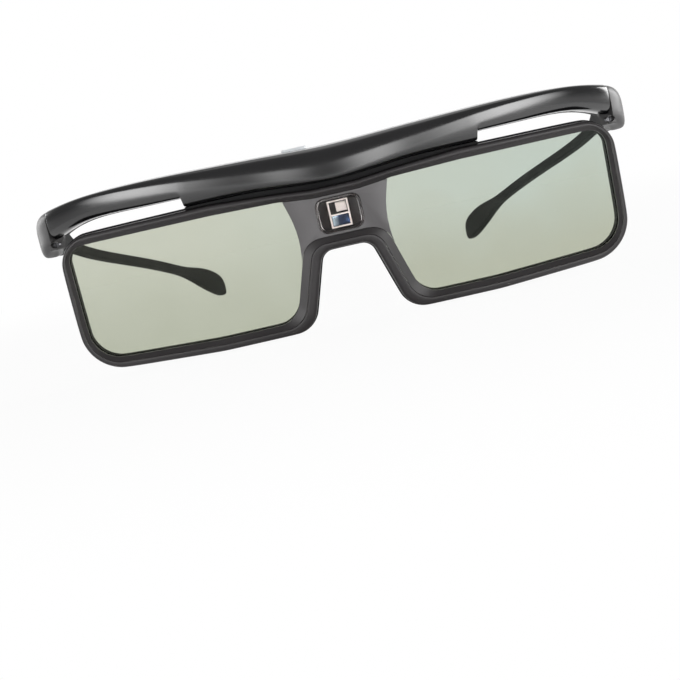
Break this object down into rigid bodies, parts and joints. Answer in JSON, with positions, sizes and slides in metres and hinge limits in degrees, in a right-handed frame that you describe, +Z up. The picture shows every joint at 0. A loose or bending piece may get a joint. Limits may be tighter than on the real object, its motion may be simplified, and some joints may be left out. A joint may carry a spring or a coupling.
{
  "type": "active shutter 3d glasses",
  "caption": "Black shutter glasses for 3d viewing: wide rims with grey green lenses, a hollow brow bar over open slots, a light receiver in the bridge and slim folding temples.",
  "frame": {"origin": "on the surface the glasses stand on, under the middle of their box", "axes": "+X to the wearer's left, +Y from the lenses back to the temple tips, +Z up"},
  "size_m": [0.1648, 0.1631, 0.0494],
  "materials": {
    "rim_satin_black": "satin moulded black plastic",
    "rear_black": "fine satin black plastic",
    "bridge_grey": "satin dark grey plastic",
    "brow_gloss_black": "smooth semi-gloss black plastic",
    "temple_black": "satin black plastic",
    "window_clear": "clear polished plastic",
    "housing_white": "white moulded plastic",
    "photodiode_die": "bluish black silicon under clear resin",
    "shutter_glass": "grey green liquid crystal glass",
    "polariser_film": "grey green film",
    "tail_amber": "amber flexible circuit film",
    "board_green": "green circuit board",
    "chip_black": "black moulded chip package",
    "light_lens": "pale diffuse light body",
    "battery_foil": "foil pouch",
    "socket_steel": "plated steel",
    "hinge_steel": "dark plated steel"
  },
  "bodies": {
    "frame": {"front_rim": "rim_satin_black", "rear_rim": "rear_black", "bridge_back_cover": "rear_black", "brow_rear_cover": "rear_black", "brow_rail": "rear_black", "end_block_left": "rear_black", "end_block_right": "rear_black", "bridge_panel": "bridge_grey", "brow_front_cover": "brow_gloss_black", "receiver_window": "window_clear", "receiver_housing": "housing_white", "receiver_chip": "housing_white", "photodiode": "photodiode_die", "lens_cell_left": "shutter_glass", "lens_cell_right": "shutter_glass", "front_polariser_left": "polariser_film", "front_polariser_right": "polariser_film", "rear_polariser_left": "polariser_film", "rear_polariser_right": "polariser_film", "shutter_tail_left": "tail_amber", "shutter_tail_right": "tail_amber", "receiver_board": "board_green", "main_board": "board_green", "controller_chip": "chip_black", "push_switch": "chip_black", "indicator_light": "light_lens", "battery_cell": "battery_foil", "charge_socket": "socket_steel", "hinge_leaf_left": "hinge_steel", "hinge_leaf_right": "hinge_steel", "hinge_screw_left": "hinge_steel", "hinge_screw_right": "hinge_steel", "cover_screws": "hinge_steel"},
    "left_temple": {"temple_left": "temple_black", "temple_leaf_left": "hinge_steel"},
    "right_temple": {"temple_right": "temple_black", "temple_leaf_right": "hinge_steel"},
    "button": {"power_button": "window_clear", "switch_plunger": "housing_white"}
  },
  "joints": [
    {"name": "left_temple_fold", "type": "hinge", "parent": "frame", "child": "left_temple", "pos_m": [0.0757, -0.05265, 0.0426], "axis": [0, 0, 1], "range_deg": [0, 82]},
    {"name": "right_temple_fold", "type": "hinge", "parent": "frame", "child": "right_temple", "pos_m": [-0.0757, -0.05265, 0.0426], "axis": [0, 0, -1], "range_deg": [0, 77]},
    {"name": "power_button_press", "type": "slide", "parent": "frame", "child": "button", "axis": [0, 0, -1], "range_m": [0, 0.0004], "stiffness_N_per_m": 2000, "springref_m": -0.0004}
  ]
}
